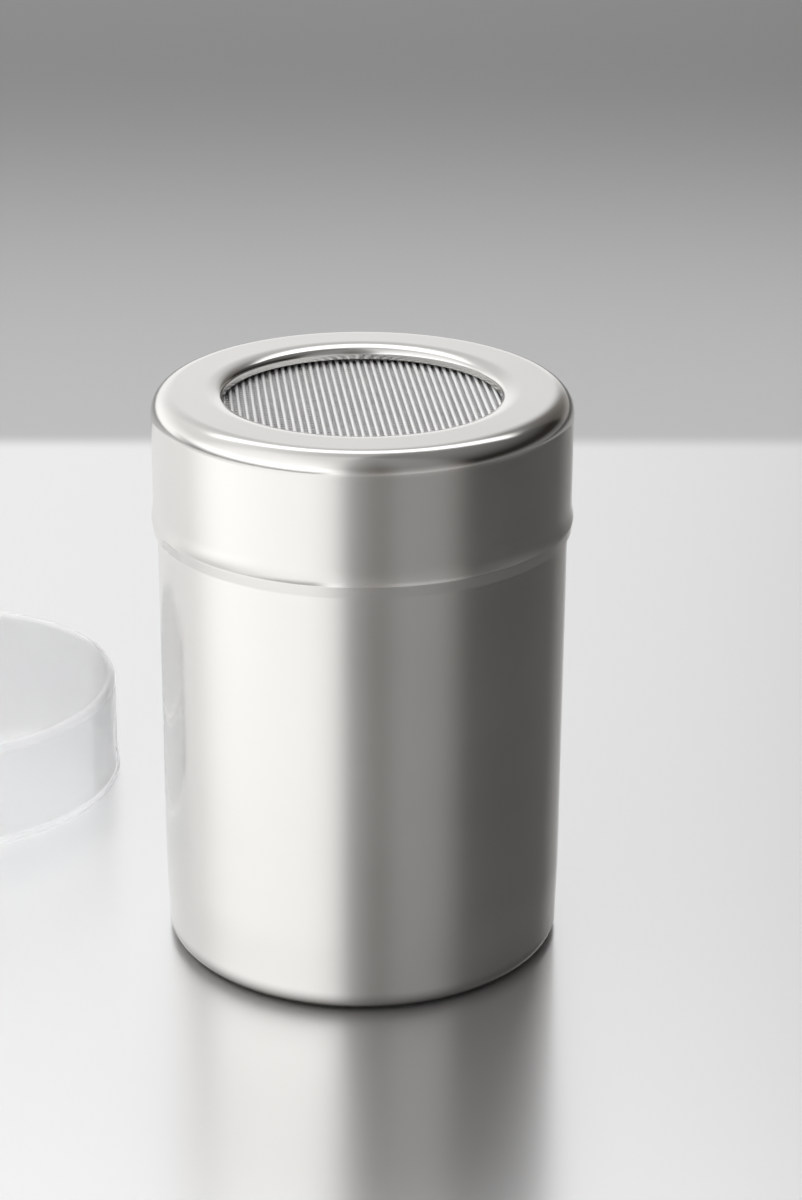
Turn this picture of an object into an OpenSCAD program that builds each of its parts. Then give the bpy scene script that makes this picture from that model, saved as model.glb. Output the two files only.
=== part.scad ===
// Sugar caster: a drawn steel cup, a push-on steel lid with a woven wire mesh in its mouth,
// the ring that holds the mesh under the lid, and a translucent cap that lies beside the caster.
// Millimetres. The origin is the middle of the cup's foot, and +Z runs up the cup's axis.

/* [Cup] */
// Outside diameter of the cup's straight wall
cup_d = 70; // [60:0.5:90]
// Height of the cup from the table to its rim
cup_h = 97.2; // [80:0.2:130]
// Thickness of the cup's steel sheet
cup_sheet = 0.5; // [0.4:0.05:0.8]
// Outside radius of the bend between wall and base
cup_bend_r = 2.6; // [2:0.1:5]
// How far the wall draws in towards its foot
draw_in = 0.25; // [0.1:0.05:0.6]
// Height over which the wall draws in
draw_h = 12; // [8:0.5:20]
// Distance from the bend to the stiffening ring that is pressed up into the flat base
press_inset = 8; // [5:0.5:12]
// Width of that ring
press_w = 5; // [4:0.5:8]
// Height of that ring
press_rise = 0.6; // [0.4:0.1:1]

/* [Lid] */
// Radial clearance between the lid's skirt and the cup
lid_clearance = 0.1; // [0.05:0.01:0.2]
// Thickness of the lid's steel sheet
lid_sheet = 0.5; // [0.4:0.05:0.8]
// Height of the lid from its lower edge to its top
lid_h = 23.9; // [18:0.1:35]
// Outside radius of the shoulder between skirt and top
shoulder_r = 3.8; // [2.5:0.1:5]
// Gap between the cup's rim and the shoulder that stops on it
seat_gap = 0.3; // [0.2:0.05:0.5]
// How far the hem's crease stands out from the skirt
hem_swell = 0.35; // [0.2:0.05:0.6]
// Height of the hem below its crease
hem_drop = 1.9; // [1.4:0.1:2.5]
// Thickness of the folded hem at its lower edge
hem_land = 0.6; // [0.3:0.05:0.65]
// Slope at which the skirt flares out to the crease, in degrees
hem_slope = 13; // [8:1:16]
// Radius of the crease along the hem's widest line
crease_r = 0.5; // [0.3:0.05:0.55]
// Width of the flat part of the lid's top, between the shoulder and the lip
top_w = 5.05; // [4.5:0.05:12]
// Large radius on which the top starts to fall towards the mouth
lip_fall_r = 6; // [4:0.5:8]
// How far the top has fallen where the tight bend takes over, in degrees
lip_fall = 25; // [15:1:35]
// Radius of the tight bend around the mouth
lip_r = 1.2; // [1:0.05:2]
// Straight collar below the tight bend
lip_collar = 0.7; // [0.1:0.05:1]

/* [Mesh] */
// Diameter of one wire
wire_d = 0.65; // [0.3:0.05:0.75]
// Distance from one wire to the next
wire_pitch = 1.22; // [0.9:0.02:2]
// Clearance between the two layers of wires
layer_gap = 0.05; // [0.03:0.01:0.1]
// Clearance between the mesh and the shelf that carries it
mesh_gap = 0.03; // [0.02:0.01:0.1]
// Open gap between the collar's lower edge and the mesh
lip_gap = 0.48; // [0.1:0.02:0.6]
// How far the mesh reaches past the mouth, on to the shelf
mesh_lap = 2.2; // [1.5:0.1:3]
// Turn of the wires away from the view's own direction, in degrees
mesh_turn = 5; // [0:1:45]

/* [Mesh ring] */
// Thickness of the ring's steel sheet
ring_sheet = 0.5; // [0.4:0.05:0.8]
// Clearance between the lip's bend and the ring's riser
ring_gap = 0.1; // [0.05:0.05:0.3]
// Width of the ring's flange that is welded under the lid's top
flange_w = 4; // [3:0.1:4.2]
// How far the ring's shelf stays behind the edge of the mouth
shelf_setback = 0.15; // [0.1:0.05:0.5]

/* [Cap] */
// Radial clearance between the cap and the lid's skirt
cap_clearance = 0.15; // [0.1:0.05:0.4]
// Thickness of the cap's side
cap_wall = 0.9; // [0.6:0.1:1.5]
// Thickness of the cap's top
cap_top = 1; // [0.8:0.1:2]
// Height of the lid that stays bare below the cap when the cap is on
cap_bare = 4.5; // [3.6:0.1:8]
// Outside radius of the cap's upper edge
cap_edge_r = 1.2; // [1:0.1:2.5]
// How far the bead on the cap's open rim stands out
cap_bead = 0.35; // [0.2:0.05:0.6]
// Where the cap lies on the table, to the side
cap_x = -86; // [-120:0.5:-80]
// Where the cap lies on the table, behind
cap_y = 60.5; // [50:0.5:90]

/* [Hidden] */
$fn = 160;

// The cup's wall is straight from the draw upwards, and a little narrower at its foot
cup_r = cup_d / 2;
foot_r = cup_r - draw_in;
foot_bend_r = foot_r - cup_bend_r;
draw_z = cup_bend_r + draw_h;
draw_steps = 8;

// The lid's sheet, and the hem: the skirt flares out to a crease and leans in below it
lid_in_r = cup_r + lid_clearance;
lid_out_r = lid_in_r + lid_sheet;
hem_out_r = lid_out_r + hem_swell;
hem_draw = hem_out_r - lid_in_r - hem_land;
crease_in = hem_draw - crease_r;
crease_lean = atan(crease_in / hem_drop) + asin(crease_r / norm([crease_in, hem_drop]));
flare_arc_r = hem_swell / (1 - cos(hem_slope)) - crease_r;

// The shoulder's inner bend comes to rest on the round rim of the cup
shoulder_in_r = shoulder_r - lid_sheet;
rim_r = cup_sheet / 2;
rim_reach = shoulder_in_r - lid_clearance - rim_r;
seat_rise = sqrt(pow(shoulder_in_r - rim_r, 2) - pow(rim_reach, 2));
lid_top_z = cup_h - rim_r - seat_rise + seat_gap + shoulder_in_r + lid_sheet;
lid_under_z = lid_top_z - lid_sheet;
lid_low_z = lid_top_z - lid_h;
hem_z = lid_low_z + hem_drop;
bend_z = hem_z + crease_r * sin(hem_slope);
flare_z = bend_z + flare_arc_r * sin(hem_slope);

// The lip: a wide bend, a tight bend that goes on from it at the same slope, and the collar
shoulder_bend_r = lid_out_r - shoulder_r;
lip_bend_r = shoulder_bend_r - top_w;
lip_tight_r = lip_bend_r - (lip_fall_r - lip_r) * sin(lip_fall);
lip_tight_z = lid_top_z - lip_fall_r + (lip_fall_r - lip_r) * cos(lip_fall);
mouth_r = lip_tight_r - lip_r;
lip_low_z = lip_tight_z - lip_collar;
lip_join = 1;

// The mesh lies on the shelf of its ring, a little below the collar
wire_r = wire_d / 2;
warp_z = lip_low_z - lip_gap - wire_r;
weft_z = warp_z - wire_d - layer_gap;
shelf_z = weft_z - wire_r - mesh_gap;
riser_in_r = lip_bend_r + ring_gap;
riser_out_r = riser_in_r + ring_sheet;
mesh_r = mouth_r + mesh_lap;
wire_reach = floor((mesh_r - wire_r) / wire_pitch);

// The cap fits over the lid's skirt
cap_in_r = lid_out_r + cap_clearance;
cap_out_r = cap_in_r + cap_wall;
cap_h = lid_h - cap_bare + cap_top;
cap_bead_r = (cap_wall + cap_bead) / 2;

// A rectangle of a turned profile, from its inner radius and lower edge to its outer radius and upper edge
module band(in_r, out_r, low_z, high_z) {
    translate([in_r, low_z]) square([out_r - in_r, high_z - low_z]);
}

// A quarter of a bent sheet around the origin of its bend: quadrant 0 is outside and up, 1 inside and up,
// 2 inside and down, 3 outside and down
module bend(centre_r, centre_z, out_r, sheet, quadrant) {
    translate([centre_r, centre_z]) intersection() {
        difference() {
            circle(out_r);
            circle(out_r - sheet);
        }
        rotate(90 * quadrant) square(out_r);
    }
}

// Half the length of a wire that lies this far from the middle of the mesh
function half_wire(offset_x) = sqrt(mesh_r * mesh_r - offset_x * offset_x);

// The wall's outside at a share t of the draw, eased so that it runs straight on at both ends
function draw_point(t) = [foot_r + draw_in * t * t * (3 - 2 * t), cup_bend_r + draw_h * t];

// The drawn cup: flat base with a pressed ring, bend, drawn and straight wall, and round rim
module cup() {
    press_out_r = foot_bend_r - press_inset;
    press_in_r = press_out_r - press_w;
    press_slope = press_w / 4;
    press_line = [
        [0, 0], [press_in_r, 0], [press_in_r + press_slope, press_rise],
        [press_out_r - press_slope, press_rise], [press_out_r, 0], [foot_bend_r, 0]
    ];
    last = len(press_line) - 1;
    press_top = [for (i = [last : -1 : 0]) press_line[i] + [0, cup_sheet]];
    draw_out = [for (i = [0 : draw_steps]) draw_point(i / draw_steps)];
    draw_back = [for (i = [draw_steps : -1 : 0]) draw_point(i / draw_steps) - [cup_sheet, 0]];
    color("silver") rotate_extrude() {
        polygon(concat(press_line, press_top));
        bend(foot_bend_r, cup_bend_r, cup_bend_r, cup_sheet, 3);
        polygon(concat(draw_out, draw_back));
        band(cup_r - cup_sheet, cup_r, draw_z, cup_h - rim_r);
        translate([cup_r - rim_r, cup_h - rim_r]) circle(rim_r);
    }
}

// The lower edge of the lid, folded into a hem that leans in to the cup below a crease
module hem_profile() {
    crease = [hem_out_r - crease_r, hem_z];
    polygon([
        [lid_in_r, lid_low_z], [lid_in_r + hem_land, lid_low_z],
        crease + crease_r * [cos(crease_lean), -sin(crease_lean)], crease, [lid_in_r, hem_z]
    ]);
    intersection() {
        translate(crease) circle(crease_r);
        band(lid_in_r, hem_out_r, hem_z - crease_r, hem_z + crease_r);
    }
    difference() {
        band(lid_in_r, hem_out_r, bend_z, flare_z);
        translate([lid_out_r + flare_arc_r, flare_z]) circle(flare_arc_r);
    }
}

// All that lies under the lip's surface, or under its lower side when the surface is set in by the sheet
module lip_fill(inset) {
    wide = [lip_bend_r, lid_top_z - lip_fall_r];
    reach = 2 * lip_fall_r;
    intersection() {
        translate(wide) circle(lip_fall_r - inset);
        polygon([wide, wide + [lip_join, reach], wide + reach * [-sin(lip_fall), cos(lip_fall)]]);
    }
    translate([lip_tight_r, lip_tight_z]) circle(lip_r - inset);
    band(mouth_r + inset, lip_bend_r + lip_join, lip_low_z - lid_sheet, lip_tight_z);
    band(lip_bend_r, lip_bend_r + lip_join, lip_low_z, lid_top_z - inset);
}

// The lip's sheet, from a strip of the flat top to the collar's lower edge
module lip_profile() {
    intersection() {
        difference() {
            lip_fill(0);
            lip_fill(lid_sheet);
        }
        band(mouth_r, lip_bend_r + lip_join, lip_low_z, lid_top_z);
    }
}

// The lid: hem, skirt, shoulder, flat top and the lip that turns down into the mouth
module lid_shell() {
    color("gainsboro") rotate_extrude() {
        hem_profile();
        band(lid_in_r, lid_out_r, flare_z, lid_top_z - shoulder_r);
        bend(shoulder_bend_r, lid_top_z - shoulder_r, shoulder_r, lid_sheet, 0);
        band(lip_bend_r, shoulder_bend_r, lid_under_z, lid_top_z);
        lip_profile();
    }
}

// One layer of the mesh: parallel wires cut to the round of the mesh
module wire_layer(axis_z, turn) {
    rotate(turn)
        for (i = [-wire_reach : wire_reach])
            translate([i * wire_pitch, half_wire(i * wire_pitch), axis_z])
                rotate([90, 0, 0]) cylinder(r = wire_r, h = 2 * half_wire(i * wire_pitch));
}

// The upper layer, whose wires run away from the viewer
module mesh_warp_wires() {
    color("lightgray") wire_layer(warp_z, mesh_turn);
}

// The lower layer, whose wires run across
module mesh_weft_wires() {
    color("darkgray") wire_layer(weft_z, mesh_turn + 90);
}

// The ring under the lid: a flange on the lid's top, a riser, and a shelf that carries the mesh
module mesh_ring() {
    color("lightslategray") rotate_extrude() {
        band(riser_in_r, riser_out_r + flange_w, lid_under_z - ring_sheet, lid_under_z);
        band(riser_in_r, riser_out_r, shelf_z - ring_sheet, lid_under_z);
        band(mouth_r + shelf_setback, riser_out_r, shelf_z - ring_sheet, shelf_z);
    }
}

// The cap that covers the lid, lying on its open rim
module clear_cap() {
    edge_r = cap_out_r - cap_edge_r;
    color([0.85, 0.88, 0.9, 0.45]) translate([cap_x, cap_y, 0]) rotate_extrude() {
        band(0, edge_r, cap_h - cap_top, cap_h);
        intersection() {
            difference() {
                translate([edge_r, cap_h - cap_edge_r]) circle(cap_edge_r);
                band(0, cap_in_r, 0, cap_h - cap_top);
            }
            band(edge_r, cap_out_r, cap_h - cap_edge_r, cap_h);
        }
        band(cap_in_r, cap_out_r, cap_bead_r, cap_h - cap_edge_r);
        translate([cap_in_r + cap_bead_r, cap_bead_r]) circle(cap_bead_r);
    }
}

cup();
lid_shell();
mesh_warp_wires();
mesh_weft_wires();
mesh_ring();
clear_cap();
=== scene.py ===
# %% [markdown]
# # A sugar caster in polished steel
# The caster is a drawn steel cup with a push-on lid. A round of wire mesh closes the lid's mouth, and a
# translucent cap that covers the lid lies beside it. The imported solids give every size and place. This
# script turns them into smooth, finely finished pieces, because bright steel shows each facet of a coarse
# mesh.

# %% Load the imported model
import math

import bmesh
import bpy
from mathutils import Matrix, Vector


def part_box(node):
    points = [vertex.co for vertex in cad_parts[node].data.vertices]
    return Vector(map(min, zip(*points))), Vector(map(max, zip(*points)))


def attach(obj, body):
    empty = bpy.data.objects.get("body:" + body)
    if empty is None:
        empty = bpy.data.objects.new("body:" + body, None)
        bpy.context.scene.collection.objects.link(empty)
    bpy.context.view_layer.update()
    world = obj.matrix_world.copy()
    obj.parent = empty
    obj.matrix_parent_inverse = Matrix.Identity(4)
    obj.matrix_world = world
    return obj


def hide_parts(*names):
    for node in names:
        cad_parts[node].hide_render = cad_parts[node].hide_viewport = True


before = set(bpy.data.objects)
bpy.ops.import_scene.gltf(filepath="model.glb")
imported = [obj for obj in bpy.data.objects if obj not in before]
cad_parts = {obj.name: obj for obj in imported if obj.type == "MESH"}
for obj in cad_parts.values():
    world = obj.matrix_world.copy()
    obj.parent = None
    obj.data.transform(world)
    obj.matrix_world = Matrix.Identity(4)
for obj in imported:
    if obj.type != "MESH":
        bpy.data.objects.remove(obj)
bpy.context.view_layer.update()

MM = 0.001

# %% [markdown]
# ## The camera
# The photograph was taken from a little above, with a long lens. A camera object looks down its own -Z
# axis, so its matrix is built from three directions: right, up and backwards. The pitch looks down at the
# caster, and the small turn about the camera's own upright axis moves the caster left of the middle of the
# picture.

# %% Camera
CAMERA_DISTANCE = 444.2 * MM
CAMERA_HEIGHT = 242.5 * MM
CAMERA_PITCH = math.radians(22.15)
CAMERA_TURN = math.radians(0.793)
CAMERA_LENS = 83.13
LONG_SIDE = 36.0


def make_camera():
    level_right = Vector((1, 0, 0))
    level_ahead = Vector((0, math.cos(CAMERA_PITCH), -math.sin(CAMERA_PITCH)))
    ahead = level_ahead * math.cos(CAMERA_TURN) + level_right * math.sin(CAMERA_TURN)
    right = level_right * math.cos(CAMERA_TURN) - level_ahead * math.sin(CAMERA_TURN)
    up = right.cross(ahead)
    data = bpy.data.cameras.new("camera")
    data.lens = CAMERA_LENS
    data.sensor_width = LONG_SIDE
    camera = bpy.data.objects.new("camera", data)
    turn = Matrix((right, up, -ahead)).transposed().to_4x4()
    camera.matrix_world = Matrix.Translation((0, -CAMERA_DISTANCE, CAMERA_HEIGHT)) @ turn
    bpy.context.scene.collection.objects.link(camera)
    bpy.context.scene.camera = camera
    return camera


camera = make_camera()
print("camera stands at", [round(x, 3) for x in camera.location])

# %% [markdown]
# ## Turned profiles
# Cup, lid, ring and cap are all round, so each is half of a cross-section that is spun about an upright
# axis. The section is drawn like a pen line: a vertex is extruded along straight runs, and spun about a
# bend's centre for the arcs. Each straight run gets a holding vertex close to its ends. Without these,
# smooth shading would bleed from a bend into the flat next to it, and a mirror shows that at once.

# %% Profile pen
HOLD = 0.15 * MM
HOLD_SHARE = 0.25
ARC_STEPS = 10


def pen_down(r, z):
    bm = bmesh.new()
    return bm, bm.verts.new((r, 0, z))


def line_to(bm, vert, r, z):
    start = vert.co.copy()
    end = Vector((r, 0, z))
    hold = min(HOLD / (end - start).length, HOLD_SHARE)
    for share in (hold, 1 - hold, 1):
        vert = bmesh.ops.extrude_vert_indiv(bm, verts=[vert])["verts"][0]
        vert.co = start.lerp(end, share)
    return vert


def arc_to(bm, vert, centre_r, centre_z, turn, steps=ARC_STEPS):
    # A positive turn runs anticlockwise with the radius to the right and Z up.
    made = bmesh.ops.spin(
        bm, geom=[vert], cent=(centre_r, 0, centre_z), axis=(0, -1, 0), angle=turn, steps=steps
    )
    return [part for part in made["geom_last"] if isinstance(part, bmesh.types.BMVert)][0]


# %% Spinning a profile
TURN_STEPS = 192
SHARP_ANGLE = math.radians(38)
MERGE = 0.002 * MM


def finish_mesh(bm, name):
    bmesh.ops.remove_doubles(bm, verts=bm.verts, dist=MERGE)
    bmesh.ops.recalc_face_normals(bm, faces=bm.faces)
    mesh = bpy.data.meshes.new(name)
    bm.to_mesh(mesh)
    bm.free()
    mesh.shade_smooth()
    mesh.set_sharp_from_angle(angle=SHARP_ANGLE)
    piece = bpy.data.objects.new(name, mesh)
    bpy.context.scene.collection.objects.link(piece)
    print(name, "has", len(mesh.polygons), "faces")
    return piece


def turn_profile(bm, name, centre=(0, 0, 0)):
    profile = bm.verts[:] + bm.edges[:]
    bmesh.ops.spin(
        bm, geom=profile, cent=(0, 0, 0), axis=(0, 0, 1), angle=math.tau, steps=TURN_STEPS, use_merge=True
    )
    bmesh.ops.translate(bm, verts=bm.verts, vec=centre)
    return finish_mesh(bm, name)


# %% [markdown]
# ## The cup
# A cup like this is drawn from one round of sheet. The pen runs out along the base, over the stiffening
# ring that is pressed into it, round the foot's bend and up the wall. The wall is a touch narrower at its
# foot, as drawn walls are. At the rim the pen turns round the sheet's edge and comes back down the inside.
# The solid's box gives the outer sizes. What a box can't tell, such as a sheet's thickness or the radius of
# a bend, is written in millimetres, with the values that the solid was made from.

# %% Cup sizes
_, cup_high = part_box("cup")
CUP_R = cup_high.x
CUP_H = cup_high.z
CUP_SHEET = 0.5 * MM
CUP_BEND = 2.6 * MM
DRAW_IN = 0.25 * MM
DRAW_H = 12 * MM
DRAW_STEPS = 10
FOOT_R = CUP_R - DRAW_IN
FOOT_BEND_R = FOOT_R - CUP_BEND
RIM_R = CUP_SHEET / 2
PRESS_INSET = 8 * MM
PRESS_W = 5 * MM
PRESS_RISE = 0.6 * MM
PRESS_SLOPE = PRESS_W / 4
PRESS_OUT_R = FOOT_BEND_R - PRESS_INSET
PRESS_IN_R = PRESS_OUT_R - PRESS_W
print("cup is", round(2 * CUP_R / MM, 2), "mm across and", round(CUP_H / MM, 2), "mm tall")

# %% Cup
QUARTER = math.pi / 2


def press_line(lift):
    ridge = PRESS_RISE + lift
    inner = [(PRESS_IN_R, lift), (PRESS_IN_R + PRESS_SLOPE, ridge)]
    outer = [(PRESS_OUT_R - PRESS_SLOPE, ridge), (PRESS_OUT_R, lift), (FOOT_BEND_R, lift)]
    return inner + outer


def draw_line(inset):
    shares = [step / DRAW_STEPS for step in range(DRAW_STEPS + 1)]
    return [(FOOT_R - inset + DRAW_IN * s * s * (3 - 2 * s), CUP_BEND + DRAW_H * s) for s in shares]


def curve_through(bm, vert, points):
    for r, z in points:
        vert = bmesh.ops.extrude_vert_indiv(bm, verts=[vert])["verts"][0]
        vert.co = (r, 0, z)
    return vert


def make_cup():
    bm, pen = pen_down(0, 0)
    for r, z in press_line(0):
        pen = line_to(bm, pen, r, z)
    pen = arc_to(bm, pen, FOOT_BEND_R, CUP_BEND, QUARTER)
    pen = curve_through(bm, pen, draw_line(0)[1:])
    pen = line_to(bm, pen, CUP_R, CUP_H - RIM_R)
    pen = arc_to(bm, pen, CUP_R - RIM_R, CUP_H - RIM_R, math.pi)
    pen = line_to(bm, pen, CUP_R - CUP_SHEET, CUP_BEND + DRAW_H)
    pen = curve_through(bm, pen, draw_line(CUP_SHEET)[-2::-1])
    pen = arc_to(bm, pen, FOOT_BEND_R, CUP_BEND, -QUARTER)
    for r, z in press_line(CUP_SHEET)[-2::-1] + [(0, CUP_SHEET)]:
        pen = line_to(bm, pen, r, z)
    return turn_profile(bm, "steel_cup")


cup = make_cup()

# %% [markdown]
# ## The lid
# The lid is drawn from one sheet too. Its skirt flares out to a crease, and the folded hem below the crease
# leans in a little to its lower edge. The lean is a straight line that touches the crease's small arc, so
# the light breaks sharply there. Above the skirt come the shoulder, the flat top and the lip. The lip falls
# slowly on a wide arc, then turns down on a tight one that starts at the same slope, and ends in a short
# collar above the mesh.

# %% Lid sizes
lid_low, lid_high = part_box("lid_shell")
LID_TOP = lid_high.z
LID_LOW = lid_low.z
LID_SHEET = 0.5 * MM
LID_UNDER = LID_TOP - LID_SHEET
LID_CLEARANCE = 0.1 * MM
LID_IN_R = CUP_R + LID_CLEARANCE
LID_R = LID_IN_R + LID_SHEET
SHOULDER_R = 3.8 * MM
SHOULDER_BEND_R = LID_R - SHOULDER_R
SHOULDER_BEND_Z = LID_TOP - SHOULDER_R
TOP_W = 5.05 * MM
BEND_STEPS = 16
print("lid is", round((LID_TOP - LID_LOW) / MM, 2), "mm tall and ends at", round(LID_TOP / MM, 2), "mm")

# %% Hem sizes
HEM_R = lid_high.x
HEM_DROP = 1.9 * MM
HEM_LAND = 0.6 * MM
HEM_SLOPE = math.radians(13)
HEM_Z = LID_LOW + HEM_DROP
CREASE_R = 0.5 * MM
CREASE_STEPS = 12
CREASE_IN = HEM_R - LID_IN_R - HEM_LAND - CREASE_R
CREASE_LEAN = math.atan(CREASE_IN / HEM_DROP) + math.asin(CREASE_R / math.hypot(CREASE_IN, HEM_DROP))
FLARE_ARC = (HEM_R - LID_R) / (1 - math.cos(HEM_SLOPE)) - CREASE_R
FLARE_Z = HEM_Z + (CREASE_R + FLARE_ARC) * math.sin(HEM_SLOPE)
print("crease is", round(2 * HEM_R / MM, 2), "mm across")

# %% Lip sizes
LIP_FALL_R = 6 * MM
LIP_FALL = math.radians(25)
LIP_R = 1.2 * MM
LIP_COLLAR = 0.7 * MM
LIP_BEND_R = SHOULDER_BEND_R - TOP_W
LIP_BEND_Z = LID_TOP - LIP_FALL_R
LIP_TIGHT_R = LIP_BEND_R - (LIP_FALL_R - LIP_R) * math.sin(LIP_FALL)
LIP_TIGHT_Z = LIP_BEND_Z + (LIP_FALL_R - LIP_R) * math.cos(LIP_FALL)
LIP_LOW = LIP_TIGHT_Z - LIP_COLLAR
MOUTH_R = LIP_TIGHT_R - LIP_R
COLLAR_OUT_R = MOUTH_R + LID_SHEET
print("mouth is", round(2 * MOUTH_R / MM, 2), "mm wide")


# %% Lid
def make_lid():
    bm, pen = pen_down(LID_IN_R, LID_LOW)
    pen = line_to(bm, pen, LID_IN_R + HEM_LAND, LID_LOW)
    crease_low = CREASE_R * math.sin(CREASE_LEAN)
    crease_out = CREASE_R * math.cos(CREASE_LEAN)
    pen = line_to(bm, pen, HEM_R - CREASE_R + crease_out, HEM_Z - crease_low)
    pen = arc_to(bm, pen, HEM_R - CREASE_R, HEM_Z, CREASE_LEAN + HEM_SLOPE, CREASE_STEPS)
    pen = arc_to(bm, pen, LID_R + FLARE_ARC, FLARE_Z, -HEM_SLOPE)
    pen = line_to(bm, pen, LID_R, SHOULDER_BEND_Z)
    pen = arc_to(bm, pen, SHOULDER_BEND_R, SHOULDER_BEND_Z, QUARTER, BEND_STEPS)
    pen = line_to(bm, pen, LIP_BEND_R, LID_TOP)
    pen = arc_to(bm, pen, LIP_BEND_R, LIP_BEND_Z, LIP_FALL)
    pen = arc_to(bm, pen, LIP_TIGHT_R, LIP_TIGHT_Z, QUARTER - LIP_FALL, BEND_STEPS)
    pen = line_to(bm, pen, MOUTH_R, LIP_LOW)
    pen = line_to(bm, pen, COLLAR_OUT_R, LIP_LOW)
    pen = line_to(bm, pen, COLLAR_OUT_R, LIP_TIGHT_Z)
    pen = arc_to(bm, pen, LIP_TIGHT_R, LIP_TIGHT_Z, LIP_FALL - QUARTER)
    pen = arc_to(bm, pen, LIP_BEND_R, LIP_BEND_Z, -LIP_FALL)
    pen = line_to(bm, pen, SHOULDER_BEND_R, LID_UNDER)
    pen = arc_to(bm, pen, SHOULDER_BEND_R, SHOULDER_BEND_Z, -QUARTER)
    pen = line_to(bm, pen, LID_IN_R, LID_LOW)
    return turn_profile(bm, "steel_lid")


lid = make_lid()

# %% [markdown]
# ## The ring under the mesh
# The mesh is a loose round of wires, so something must hold it up from below. A stepped ring does: its
# flange lies against the underside of the lid's top, and its shelf carries the edge of the mesh. Eight
# corners draw the section, and a vertex bevel takes the sharpness off them before the spin.

# %% Mesh ring
ring_low, ring_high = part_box("mesh_ring")
RING_SHEET = 0.5 * MM
RING_GAP = 0.1 * MM
RING_EDGE = 0.08 * MM
RING_EDGE_STEPS = 3
RISER_IN_R = LIP_BEND_R + RING_GAP
RISER_R = RISER_IN_R + RING_SHEET
SHELF_SETBACK = 0.15 * MM
SHELF_IN_R = MOUTH_R + SHELF_SETBACK
SHELF_TOP = ring_low.z + RING_SHEET
FLANGE_LOW = ring_high.z - RING_SHEET


def make_ring():
    below = [(SHELF_IN_R, ring_low.z), (RISER_R, ring_low.z), (RISER_R, FLANGE_LOW)]
    flange = [(ring_high.x, FLANGE_LOW), (ring_high.x, ring_high.z)]
    above = [(RISER_IN_R, ring_high.z), (RISER_IN_R, SHELF_TOP), (SHELF_IN_R, SHELF_TOP)]
    bm = bmesh.new()
    verts = [bm.verts.new((r, 0, z)) for r, z in below + flange + above]
    for first, second in zip(verts, verts[1:] + verts[:1]):
        bm.edges.new((first, second))
    bmesh.ops.bevel(
        bm, geom=verts, offset=RING_EDGE, affect="VERTICES", segments=RING_EDGE_STEPS, profile=0.5,
        material=-1
    )
    return turn_profile(bm, "mesh_retaining_ring")


ring = make_ring()

# %% [markdown]
# ## The wire mesh
# The mesh is two layers of straight wires that cross at right angles. The upper wires run away from the
# viewer and lie unbroken on the lower ones, so from this low view they show as bright stripes. Each wire is
# a cylinder, which is made upright, laid along Y and moved sideways to its place. Its length follows the
# round of the mesh.

# %% Mesh wires
warp_low, warp_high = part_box("mesh_warp_wires")
WIRE_R = (warp_high.z - warp_low.z) / 2
WIRE_PITCH = 1.22 * MM
WIRE_SIDES = 16
MESH_LAP = 2.2 * MM
MESH_R = MOUTH_R + MESH_LAP
MESH_TURN = math.radians(5)
WARP_Z = (warp_low.z + warp_high.z) / 2
WEFT_Z = WARP_Z - 2 * WIRE_R


def make_wires(name, axis_z, turn):
    bm = bmesh.new()
    lay = Matrix.Rotation(QUARTER, 4, "X")
    reach = int((MESH_R - WIRE_R) / WIRE_PITCH)
    for number in range(-reach, reach + 1):
        offset = number * WIRE_PITCH
        length = 2 * math.sqrt(MESH_R ** 2 - offset ** 2)
        bmesh.ops.create_cone(
            bm, cap_ends=True, segments=WIRE_SIDES, radius1=WIRE_R, radius2=WIRE_R, depth=length,
            matrix=Matrix.Translation((offset, 0, 0)) @ lay
        )
    place = Matrix.Translation((0, 0, axis_z)) @ Matrix.Rotation(turn, 4, "Z")
    bmesh.ops.transform(bm, matrix=place, verts=bm.verts)
    return finish_mesh(bm, name)


warp = make_wires("upper_mesh_wires", WARP_Z, MESH_TURN)
weft = make_wires("lower_mesh_wires", WEFT_Z, MESH_TURN + QUARTER)

# %% [markdown]
# ## The cap
# The cap is a thin moulding of milky plastic. It lies on its open rim, which has a round bead to stiffen
# it. The section is a closed line with a real thickness, because light bends and dims on its way through
# both walls.

# %% Cap
cap_low, cap_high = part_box("clear_cap")
CAP_CENTRE = (cap_low + cap_high) / 2
CAP_BEAD_OUT = 0.35 * MM
CAP_WALL = 0.9 * MM
CAP_TOP = 1 * MM
CAP_EDGE = 1.2 * MM
CAP_INNER_EDGE = 0.4 * MM
CAP_R = cap_high.x - CAP_CENTRE.x - CAP_BEAD_OUT
CAP_IN_R = CAP_R - CAP_WALL
CAP_H = cap_high.z
BEAD_R = (CAP_WALL + CAP_BEAD_OUT) / 2
BEAD_STEPS = 20


def make_cap():
    bead_middle = CAP_IN_R + BEAD_R
    meet = math.acos((CAP_R - bead_middle) / BEAD_R)
    ceiling = CAP_H - CAP_TOP
    bm, pen = pen_down(0, CAP_H)
    pen = line_to(bm, pen, CAP_R - CAP_EDGE, CAP_H)
    pen = arc_to(bm, pen, CAP_R - CAP_EDGE, CAP_H - CAP_EDGE, -QUARTER)
    pen = line_to(bm, pen, CAP_R, BEAD_R * (1 + math.sin(meet)))
    pen = arc_to(bm, pen, bead_middle, BEAD_R, -(meet + math.pi), BEAD_STEPS)
    pen = line_to(bm, pen, CAP_IN_R, ceiling - CAP_INNER_EDGE)
    pen = arc_to(bm, pen, CAP_IN_R - CAP_INNER_EDGE, ceiling - CAP_INNER_EDGE, QUARTER)
    pen = line_to(bm, pen, 0, ceiling)
    return turn_profile(bm, "milky_cap", (CAP_CENTRE.x, CAP_CENTRE.y, 0))


cap = make_cap()

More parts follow.
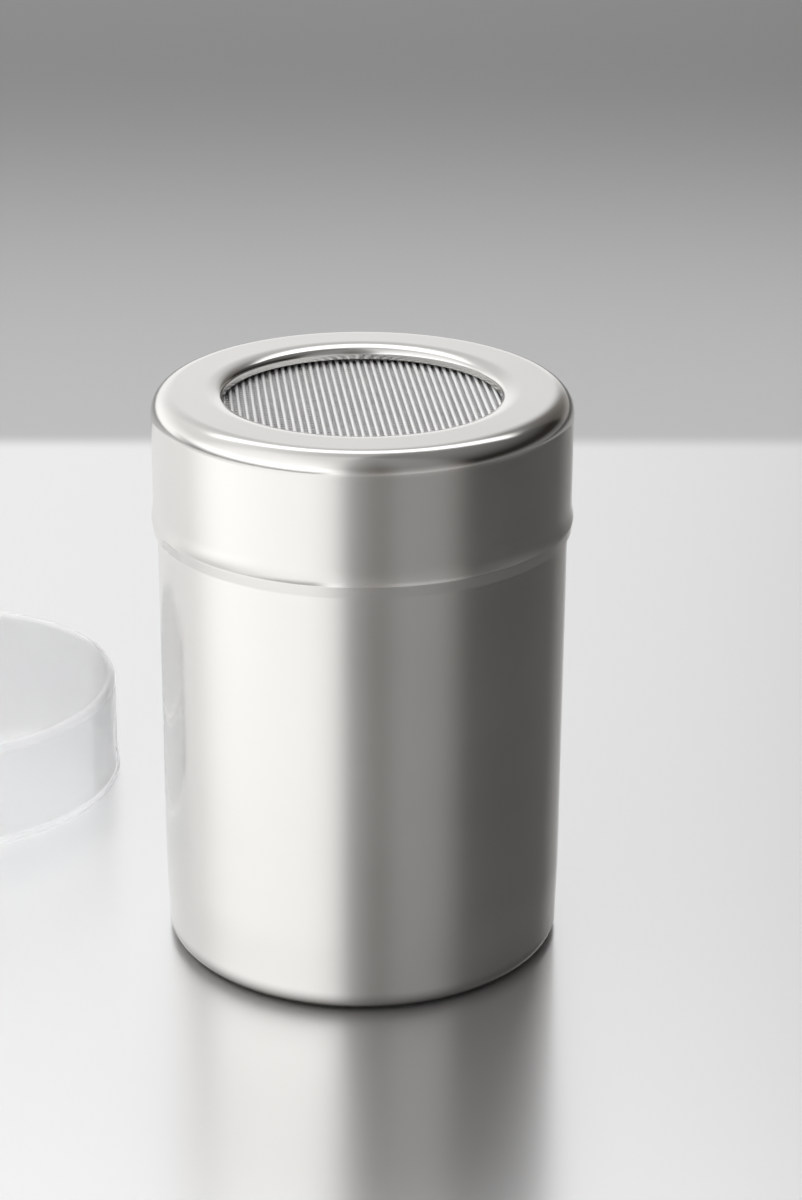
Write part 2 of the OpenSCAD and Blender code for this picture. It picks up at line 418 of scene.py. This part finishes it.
# %% [markdown]
# ## Polishing marks
# Steel that was polished on a lathe carries fine marks that run round the axis. The group below turns a
# place on the piece into its radius and height, and stretches a noise along the turn: rings on the lid's
# top, hoops on the walls. It also gives slow clouds, the faint unevenness of a wiped surface. The direction
# round the axis goes in as a point on a circle, so that the pattern has no seam. Nodes are added, fed with
# values or with each other's outputs and read in the same few ways throughout, so short helpers do that.

# %% Node helpers
def add_node(tree, kind, place, **settings):
    node = tree.nodes.new(kind)
    node.location = place
    for setting, value in settings.items():
        setattr(node, setting, value)
    return node


def feed(tree, socket, value):
    if isinstance(value, bpy.types.NodeSocket):
        tree.links.new(value, socket)
    else:
        socket.default_value = value


def work_out(tree, place, operation, *values):
    node = add_node(tree, "ShaderNodeMath", place, operation=operation)
    for socket, value in zip(node.inputs, values):
        feed(tree, socket, value)
    return node.outputs[0]


def work_out_vector(tree, place, operation, *values):
    node = add_node(tree, "ShaderNodeVectorMath", place, operation=operation)
    for socket, value in zip(node.inputs, values):
        feed(tree, socket, value)
    return node.outputs["Value" if operation == "LENGTH" else "Vector"]


def split(tree, place, vector):
    node = add_node(tree, "ShaderNodeSeparateXYZ", place)
    feed(tree, node.inputs[0], vector)
    return node.outputs


# %% Polishing group
ACROSS = (1, 1, 0)
NOISE_DETAIL = 3


def make_polish_group():
    group = bpy.data.node_groups.new("polishing marks", "ShaderNodeTree")
    for name in ("Marks per metre", "Clouds per metre"):
        group.interface.new_socket(name, in_out="INPUT", socket_type="NodeSocketFloat")
    for name in ("Marks", "Clouds"):
        group.interface.new_socket(name, in_out="OUTPUT", socket_type="NodeSocketFloat")
    asked = add_node(group, "NodeGroupInput", (-900, 0))
    given = add_node(group, "NodeGroupOutput", (700, 0))
    point = add_node(group, "ShaderNodeTexCoord", (-900, 300)).outputs["Object"]
    height = split(group, (-700, 120), point)["Z"]
    flat = work_out_vector(group, (-700, 300), "MULTIPLY", point, ACROSS)
    radius = work_out_vector(group, (-520, 400), "LENGTH", flat)
    turn = split(group, (-340, 240), work_out_vector(group, (-520, 240), "NORMALIZE", flat))
    section = work_out(group, (-340, 420), "ADD", radius, height)
    fine = work_out(group, (-160, 420), "MULTIPLY", section, asked.outputs["Marks per metre"])
    spot = add_node(group, "ShaderNodeCombineXYZ", (20, 340))
    for socket, value in zip(spot.inputs, (fine, turn["X"], turn["Y"])):
        feed(group, socket, value)
    marks = add_node(group, "ShaderNodeTexNoise", (220, 340), noise_dimensions="3D")
    marks.inputs["Scale"].default_value = 1
    marks.inputs["Detail"].default_value = NOISE_DETAIL
    feed(group, marks.inputs["Vector"], spot.outputs[0])
    clouds = add_node(group, "ShaderNodeTexNoise", (220, 0), noise_dimensions="3D")
    clouds.inputs["Detail"].default_value = NOISE_DETAIL
    feed(group, clouds.inputs["Vector"], point)
    feed(group, clouds.inputs["Scale"], asked.outputs["Clouds per metre"])
    feed(group, given.inputs["Marks"], marks.outputs[0])
    feed(group, given.inputs["Clouds"], clouds.outputs[0])
    return group


polish_group = make_polish_group()
print("group", polish_group.name, "has", len(polish_group.nodes), "nodes")

# %% [markdown]
# ## Steel
# Steel is a metal, so its colour is the tint of its reflections. All the steel here shares one recipe and
# differs in tint, roughness and waviness. Marks and clouds together change the roughness slightly. The
# clouds also go into a bump as a slow waviness, which bends reflections as thin drawn sheet does.

# %% Shader helpers
def new_material(name):
    material = bpy.data.materials.new(name)
    material.use_nodes = True
    tree = material.node_tree
    return material, tree, tree.nodes["Principled BSDF"]


def mix(tree, place, kind, share, first, second):
    node = add_node(tree, "ShaderNodeMix", place, data_type=kind)
    for name, value in zip(("Factor", "A", "B"), (share, first, second)):
        feed(tree, node.inputs[name], value)
    return node.outputs["Result"]


def ramp(tree, place, source, start, end, low=0, high=1, kind="LINEAR"):
    node = add_node(tree, "ShaderNodeMapRange", place, interpolation_type=kind)
    names = ("Value", "From Min", "From Max", "To Min", "To Max")
    for name, value in zip(names, (source, start, end, low, high)):
        feed(tree, node.inputs[name], value)
    return node.outputs["Result"]


def make_wave(tree, place, height, depth):
    wave = add_node(tree, "ShaderNodeBump", place)
    wave.inputs["Strength"].default_value = 1
    wave.inputs["Distance"].default_value = depth
    feed(tree, wave.inputs["Height"], height)
    return wave.outputs["Normal"]


# %% Steel materials
TINT_SPREAD = 0.04
GLOSS_SPREAD = 0.2
MARKS_SHARE = 0.4
MARKS_PER_METRE = 1800
NOISE_RANGE = (0.35, 0.65)
WARM_STEEL = (0.72, 0.71, 0.69)
PALE_STEEL = (0.97, 0.97, 0.96)
DIM_STEEL = (0.66, 0.65, 0.63)


def make_steel(name, tint, rough, clouds_per_metre, wave_depth):
    material, tree, shader = new_material(name)
    shader.inputs["Metallic"].default_value = 1
    polish = add_node(tree, "ShaderNodeGroup", (-900, 0), node_tree=polish_group)
    polish.inputs["Marks per metre"].default_value = MARKS_PER_METRE
    polish.inputs["Clouds per metre"].default_value = clouds_per_metre
    clouds = polish.outputs["Clouds"]
    dark = [c * (1 - TINT_SPREAD) for c in tint]
    light = [min(c * (1 + TINT_SPREAD), 1) for c in tint]
    colour = mix(tree, (-400, 240), "RGBA", clouds, (*dark, 1), (*light, 1))
    worn = mix(tree, (-600, 0), "FLOAT", MARKS_SHARE, clouds, polish.outputs["Marks"])
    rough_range = (rough * (1 - GLOSS_SPREAD), rough * (1 + GLOSS_SPREAD))
    feed(tree, shader.inputs["Base Color"], colour)
    feed(tree, shader.inputs["Roughness"], ramp(tree, (-400, -40), worn, *NOISE_RANGE, *rough_range))
    feed(tree, shader.inputs["Normal"], make_wave(tree, (-400, -320), clouds, wave_depth))
    return material


cup_steel = make_steel("cup_steel", WARM_STEEL, rough=0.15, clouds_per_metre=40, wave_depth=0.020 * MM)
lid_steel = make_steel("lid_steel", WARM_STEEL, rough=0.15, clouds_per_metre=60, wave_depth=0.012 * MM)
wire_steel = make_steel("wire_steel", PALE_STEEL, rough=0.66, clouds_per_metre=400, wave_depth=0.001 * MM)
ring_steel = make_steel("ring_steel", DIM_STEEL, rough=0.28, clouds_per_metre=60, wave_depth=0.003 * MM)
print("four steels share the group")

# %% [markdown]
# ## Painted shade in the depths
# The lower wires of the mesh and the lower sides of the upper wires get a darker colour, a painted shade
# that makes the gaps read as grey lines. The cup's foot, where the bend turns under to the table, gets a
# painted shade in the same way. The height of a point decides how much of the polished colour it keeps.

# %% Painted shade on the lower wires and the foot
WIRE_PAINTED_SHADE = (0.82, 0.82, 0.82, 1)
WIRE_SHADE_SHARE = 0.9
WIRE_SHADE_HEIGHTS = (WARP_Z - WIRE_SHADE_SHARE * WIRE_R, WARP_Z)
FOOT_PAINTED_SHADE = (0.20, 0.19, 0.18, 1)
FOOT_SHADE_HEIGHTS = (0.8 * MM, 4.0 * MM)


def paint_shade_below(material, low, high, painted_shade):
    tree = material.node_tree
    colour = tree.nodes["Principled BSDF"].inputs["Base Color"]
    polished = colour.links[0].from_socket
    point = add_node(tree, "ShaderNodeTexCoord", (-900, 560)).outputs["Object"]
    height = split(tree, (-700, 560), point)["Z"]
    kept = ramp(tree, (-500, 560), height, low, high, kind="SMOOTHSTEP")
    # Painted shade: below the given heights the colour turns darker.
    feed(tree, colour, mix(tree, (-180, 420), "RGBA", kept, painted_shade, polished))
    print(material.name, "is dull below", round(low / MM, 2), "mm")


# Painted shade in the depths of the mesh, between and under the upper wires.
paint_shade_below(wire_steel, *WIRE_SHADE_HEIGHTS, WIRE_PAINTED_SHADE)
# Painted shade at the cup's foot, where the bend turns under to the table.
paint_shade_below(cup_steel, *FOOT_SHADE_HEIGHTS, FOOT_PAINTED_SHADE)

# %% [markdown]
# ## Milky plastic
# Milky plastic scatters the light that goes through it. Rough transmission does that, and some alpha lets a
# little of what lies behind show through unbent. The bend at the top and the bead at the rim are thick, so
# a mask built from radius and height makes them denser. The same masks give the top and the bead a paler
# base colour, which is painted light, and the wall a greyer one, which is painted shade. The flat top keeps
# its moulded gloss as a coat. Slow clouds vary the roughness.

# %% Where the cap is thick, and where paler colour is painted
BEND_RADII = (CAP_R - 1.7 * MM, CAP_R - 0.9 * MM)
TOP_HEIGHTS = (CAP_H - 1.9 * MM, CAP_H - 1.0 * MM)
RIM_HEIGHTS = (1.2 * MM, 1.9 * MM)


def cap_masks(tree, point):
    middle = work_out_vector(tree, (-1300, -800), "SUBTRACT", point, CAP_CENTRE)
    flat = work_out_vector(tree, (-1100, -800), "MULTIPLY", middle, ACROSS)
    radius = work_out_vector(tree, (-900, -800), "LENGTH", flat)
    height = split(tree, (-1300, -1060), point)["Z"]
    out = ramp(tree, (-700, -800), radius, *BEND_RADII, kind="SMOOTHSTEP")
    top = ramp(tree, (-700, -1060), height, *TOP_HEIGHTS, kind="SMOOTHSTEP")
    rim = ramp(tree, (-700, -1320), height, *RIM_HEIGHTS, 1, 0, kind="SMOOTHSTEP")
    bend = work_out(tree, (-450, -900), "MULTIPLY", out, top)
    thick = work_out(tree, (-260, -900), "MAXIMUM", bend, rim)
    return top, rim, thick


# %% Cap plastic
MILK = (0.97, 0.975, 0.98, 1)
BRIGHT_MILK = (0.99, 0.992, 0.995, 1)
WALL_MILK_PAINTED_SHADE = (0.82, 0.83, 0.84, 1)
MILK_CLOUDS = 60
MILK_ROUGH = (0.55, 0.70)
MILK_WAVE = 0.006 * MM
SLANTS = (0.25, 1)
THIN_ALPHA = (0.55, 0.32)
THICK_ALPHA = 0.95


def make_cap_plastic():
    material, tree, shader = new_material("cap_plastic")
    shader.inputs["IOR"].default_value = 1.10
    shader.inputs["Transmission Weight"].default_value = 1
    shader.inputs["Coat Roughness"].default_value = 0.2
    point = add_node(tree, "ShaderNodeTexCoord", (-1500, 0)).outputs["Object"]
    noise = add_node(tree, "ShaderNodeTexNoise", (-700, 0))
    noise.inputs["Scale"].default_value = MILK_CLOUDS
    noise.inputs["Detail"].default_value = 1
    feed(tree, noise.inputs["Vector"], point)
    clouds = noise.outputs[0]
    top, rim, thick = cap_masks(tree, point)
    painted_pale = work_out(tree, (-450, -1200), "MAXIMUM", top, rim)
    milk = mix(tree, (-450, 240), "RGBA", clouds, MILK, BRIGHT_MILK)
    slant = add_node(tree, "ShaderNodeLayerWeight", (-700, -520)).outputs["Facing"]
    thin = ramp(tree, (-450, -520), slant, *SLANTS, *THIN_ALPHA, kind="SMOOTHSTEP")
    # Painted light and shade: the top and the rim bead get the paler milk, the wall the greyer one.
    feed(tree, shader.inputs["Base Color"], mix(tree, (-220, 240), "RGBA", painted_pale, WALL_MILK_PAINTED_SHADE, milk))
    feed(tree, shader.inputs["Roughness"], ramp(tree, (-450, 0), clouds, 0, 1, *MILK_ROUGH))
    feed(tree, shader.inputs["Normal"], make_wave(tree, (-450, -260), clouds, MILK_WAVE))
    feed(tree, shader.inputs["Alpha"], mix(tree, (-180, -600), "FLOAT", thick, thin, THICK_ALPHA))
    feed(tree, shader.inputs["Coat Weight"], top)
    return material


cap_plastic = make_cap_plastic()
print("cap plastic has", len(cap_plastic.node_tree.nodes), "nodes")

# %% [markdown]
# ## Dressing the frame
# Each new piece takes its material, stands for its solid and rides on that solid's body. The table also
# lists the record's slot for each piece.

# %% Ride and replace
DRESSING = [
    (cup, cup_steel, "cup", "cup", "cup_steel"),
    (lid, lid_steel, "lid_shell", "lid", "lid_steel"),
    (warp, wire_steel, "mesh_warp_wires", "lid", "wire_steel"),
    (weft, wire_steel, "mesh_weft_wires", "lid", "wire_steel"),
    (ring, ring_steel, "mesh_ring", "lid", "ring_steel"),
    (cap, cap_plastic, "clear_cap", "cap", "cap_plastic"),
]
for piece, material, node, body, slot in DRESSING:
    piece.data.materials.append(material)
    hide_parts(node)
    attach(piece, body)
    print(piece.name, "rides on", body)

# %% [markdown]
# ## Floor
# The caster stands on a pale sheet of brushed metal. Brushing runs from left to right, so it smears
# reflections towards the viewer but keeps their sides sharp. That is what an anisotropic shader does, with
# the tangent laid along the smear. Some way behind, the sheet ends and a plain matt grey goes on. The grey
# darkens further back, a painted shade that stands in for the dim light far behind.

# %% Floor finish
SHEET_COLOUR = (0.93, 0.93, 0.93, 1)
SHEET_SHINE = 0.9
SHEET_ROUGH = (0.27, 0.29)
BRUSHING = (6, 700, 1)
SHEET_END = 0.262
SHEET_EDGE = (SHEET_END - 0.004, SHEET_END + 0.010)
MATT_NEAR = (0.66, 0.66, 0.66, 1)
MATT_FAR_PAINTED_SHADE = (0.12, 0.12, 0.12, 1)
MATT_SHADE_DEPTHS = (SHEET_END - 0.1, SHEET_END + 0.6)


def make_floor_finish():
    material, tree, shader = new_material("floor_sheet")
    shader.inputs["Anisotropic"].default_value = 0.8
    point = add_node(tree, "ShaderNodeTexCoord", (-1100, 0)).outputs["Object"]
    depth = split(tree, (-900, 0), point)["Y"]
    behind = ramp(tree, (-680, 0), depth, *SHEET_EDGE, kind="SMOOTHSTEP")
    # Painted shade: the matt grey darkens towards the far end.
    painted_falloff = ramp(tree, (-680, 280), depth, *MATT_SHADE_DEPTHS, kind="SMOOTHERSTEP")
    matt = mix(tree, (-460, 320), "RGBA", painted_falloff, MATT_NEAR, MATT_FAR_PAINTED_SHADE)
    stretch = add_node(tree, "ShaderNodeMapping", (-900, -300))
    stretch.inputs["Scale"].default_value = BRUSHING
    feed(tree, stretch.inputs["Vector"], point)
    brushing = add_node(tree, "ShaderNodeTexNoise", (-680, -300))
    brushing.inputs["Scale"].default_value = 1
    brushing.inputs["Detail"].default_value = 2
    feed(tree, brushing.inputs["Vector"], stretch.outputs["Vector"])
    gloss = ramp(tree, (-460, -300), brushing.outputs[0], 0, 1, *SHEET_ROUGH)
    smear = add_node(tree, "ShaderNodeCombineXYZ", (-240, -300))
    smear.inputs["Y"].default_value = 1
    feed(tree, shader.inputs["Base Color"], mix(tree, (-240, 200), "RGBA", behind, SHEET_COLOUR, matt))
    feed(tree, shader.inputs["Metallic"], ramp(tree, (-240, -60), behind, 0, 1, SHEET_SHINE, 0))
    feed(tree, shader.inputs["Roughness"], gloss)
    feed(tree, shader.inputs["Tangent"], smear.outputs[0])
    return material


# %% Floor
FLOOR_SIZE = 40.0
FLOOR_DROP = 0.02 * MM


def make_floor():
    bm = bmesh.new()
    bmesh.ops.create_grid(bm, x_segments=1, y_segments=1, size=FLOOR_SIZE / 2)
    bmesh.ops.translate(bm, verts=bm.verts, vec=(0, 0, -FLOOR_DROP))
    floor = finish_mesh(bm, "floor")
    floor.data.materials.append(make_floor_finish())


make_floor()

# %% [markdown]
# ## Studio walls
# Bright steel is only as good as what it mirrors. The world is a soft studio: a pale wall behind, a large
# bright window on the left, and a dim room in front and on the right. A colour ramp over the compass
# direction holds those walls. The darkest stretches are a little warm, as unlit rooms are.

# %% Walls round the compass
# Compass degrees run from straight behind the caster, over its left, to the front, its right, and back.
WALLS = [
    (0, 0.96), (20, 1.02), (35, 1.18), (72, 1.20), (84, 1.56), (95, 1.80), (120, 1.88), (152, 1.95),
    (161, 1.70), (168, 1.08), (173, 0.48), (178, 0.34), (185, 0.23), (190, 0.20), (196, 0.27), (202, 0.37),
    (222, 0.37), (230, 0.26), (237, 0.09), (242, 0.025), (314, 0.025), (320, 0.12), (328, 0.14),
    (340, 0.22), (351, 0.85), (360, 0.96),
]
FULL_TURN = 360
WARMTH = 0.12
WARM_BELOW = 0.4


def wall_colour(level):
    warm = WARMTH * max(0, 1 - level / WARM_BELOW)
    return (level * (1 + warm), level, level * (1 - warm), 1)


def make_walls(tree, way):
    left = work_out(tree, (-1100, 200), "MULTIPLY", way["X"], -1)
    compass = work_out(tree, (-920, 200), "ARCTAN2", left, way["Y"])
    whole = work_out(tree, (-740, 200), "WRAP", compass, math.tau, 0)
    walls = add_node(tree, "ShaderNodeValToRGB", (-380, 200))
    feed(tree, walls.inputs["Fac"], work_out(tree, (-560, 200), "DIVIDE", whole, math.tau))
    stops = walls.color_ramp.elements
    stops[0].position = 0
    stops[1].position = 1
    for degrees, _ in WALLS[1:-1]:
        stops.new(degrees / FULL_TURN)
    for stop, (_, level) in zip(stops, WALLS):
        stop.color = wall_colour(level)
    print("walls have", len(stops), "levels")
    return walls.outputs["Color"]


# %% [markdown]
# ## Light that changes with height
# A room isn't equally bright from floor to ceiling. The window's wall stands on a darker skirting, the dim
# room has a little haze low down, and all walls fade as they rise into a ceiling that is lighter on the
# window's side. One bright panel hangs above and behind the caster and draws the thin lines of light along
# its bends. A direction's X, Y and Z say how far it points to the right, to the back and up, so plain ramps
# over them place all of this.

# %% Skirting and haze
FADE_HEIGHTS = (0.18, 0.50)
FADE = (1.12, 0.76)
SKIRTING_HEIGHTS = (0.04, 0.26)
SKIRTING = 0.12
SKIRTING_BACK_END = (0.1, 0.5)
SKIRTING_RIGHT_END = (-0.45, -0.25)
HAZE_HEIGHTS = (0.04, 0.22)
HAZE_LEFT_END = (-0.2, 0.3)
HAZE = 0.20


def add_low_light(tree, way, walls):
    fade = ramp(tree, (-380, -60), way["Z"], *FADE_HEIGHTS, *FADE)
    low = ramp(tree, (-380, -1100), way["Z"], *SKIRTING_HEIGHTS, SKIRTING, 1)
    behind = ramp(tree, (-380, -1360), way["Y"], *SKIRTING_BACK_END)
    aside = ramp(tree, (-380, -1620), way["X"], *SKIRTING_RIGHT_END)
    beyond = work_out(tree, (-140, -1460), "MAXIMUM", behind, aside)
    skirting = work_out(tree, (-140, -1200), "MAXIMUM", low, beyond)
    faded = add_node(tree, "ShaderNodeVectorMath", (-80, 160), operation="SCALE")
    feed(tree, faded.inputs[0], walls)
    feed(tree, faded.inputs["Scale"], work_out(tree, (-140, -60), "MULTIPLY", fade, skirting))
    haze = ramp(tree, (-380, -1880), way["Z"], *HAZE_HEIGHTS, HAZE, 0)
    right = ramp(tree, (-380, -2140), way["X"], *HAZE_LEFT_END)
    hazy = work_out(tree, (-140, -1980), "MULTIPLY", haze, right)
    return work_out_vector(tree, (-80, 300), "ADD", faded.outputs["Vector"], hazy)


# %% Ceiling and panel
CEILING_HEIGHTS = (0.38, 0.95)
CEILING_SHARE = 0.7
CEILING_SIDES = (-0.5, 0.1)
CEILING = (1.0, 0.34)
PANEL_HEIGHTS = (0.66, 0.74)
PANEL_FRONT_END = (0.38, 0.50)
PANEL = (2.0, 2.0, 2.0, 1)


def add_high_light(tree, way, room):
    up = ramp(tree, (-380, -320), way["Z"], *CEILING_HEIGHTS, 0, CEILING_SHARE)
    ceiling = ramp(tree, (-140, -160), way["X"], *CEILING_SIDES, *CEILING)
    closed = mix(tree, (120, 100), "RGBA", up, room, ceiling)
    above = ramp(tree, (-380, -580), way["Z"], *PANEL_HEIGHTS, kind="SMOOTHSTEP")
    behind = ramp(tree, (-380, -840), way["Y"], *PANEL_FRONT_END, kind="SMOOTHSTEP")
    panel = work_out(tree, (-80, -500), "MULTIPLY", above, behind)
    return mix(tree, (320, 60), "RGBA", panel, closed, PANEL)


# %% World
def make_world():
    world = bpy.data.worlds.new("studio")
    world.use_nodes = True
    bpy.context.scene.world = world
    tree = world.node_tree
    direction = add_node(tree, "ShaderNodeTexCoord", (-1500, 0)).outputs["Generated"]
    way = split(tree, (-1300, 0), direction)
    room = add_low_light(tree, way, make_walls(tree, way))
    feed(tree, tree.nodes["Background"].inputs["Color"], add_high_light(tree, way, room))
    print("world", world.name, "has", len(tree.nodes), "nodes")


make_world()
bpy.context.scene.view_settings.view_transform = "Standard"
